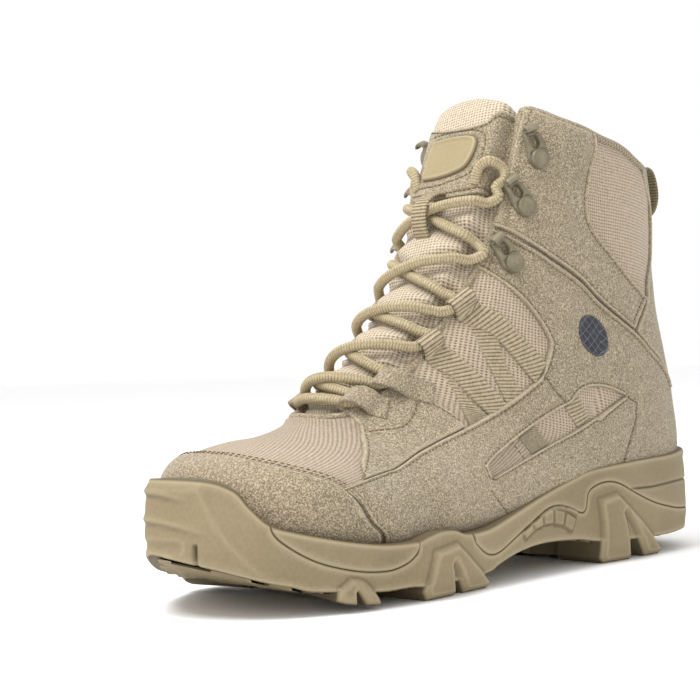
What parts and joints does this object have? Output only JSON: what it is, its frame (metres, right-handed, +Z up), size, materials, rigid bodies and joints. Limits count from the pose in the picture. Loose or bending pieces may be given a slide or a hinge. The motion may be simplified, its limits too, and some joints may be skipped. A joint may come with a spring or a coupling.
{
  "type": "combat boot",
  "caption": "Left ankle-high desert combat boot, laced over a padded tongue with hooks and webbing loops, on a chunky lugged rubber sole.",
  "frame": {"origin": "centre of the boot's outline on the ground plane, under the lug feet", "axes": "+X towards the toe along the sole, +Y towards the outer (lateral) side of this left boot, +Z up from the ground"},
  "size_m": [0.3152, 0.1118, 0.2122],
  "materials": {
    "suede": "matte",
    "canvas": "matte",
    "webbing": "matte",
    "sole_rubber": "matte",
    "hook_metal": "satin",
    "lace_cord": "matte",
    "label_film": "satin",
    "insole_cloth": "matte",
    "plate_rubber": "satin"
  },
  "bodies": {
    "root": {"outsole": "sole_rubber", "midsole": "sole_rubber", "upper": "canvas", "insole": "insole_cloth", "tongue": "canvas", "tongue_patch": "suede", "tongue_plate": "plate_rubber", "tongue_keeper": "webbing", "toe_cap": "suede", "heel_strip": "suede", "quarter_lateral": "suede", "collar_lateral": "suede", "lace_tab_lateral": "suede", "webbing_lateral": "webbing", "hook_top_lateral": "hook_metal", "hook_middle_lateral": "hook_metal", "hook_low_lateral": "hook_metal", "quarter_medial": "suede", "collar_medial": "suede", "lace_tab_medial": "suede", "webbing_medial": "webbing", "hook_top_medial": "hook_metal", "hook_middle_medial": "hook_metal", "hook_low_medial": "hook_metal", "lace": "lace_cord", "pull_loop": "webbing", "side_label": "label_film"}
  },
  "joints": []
}
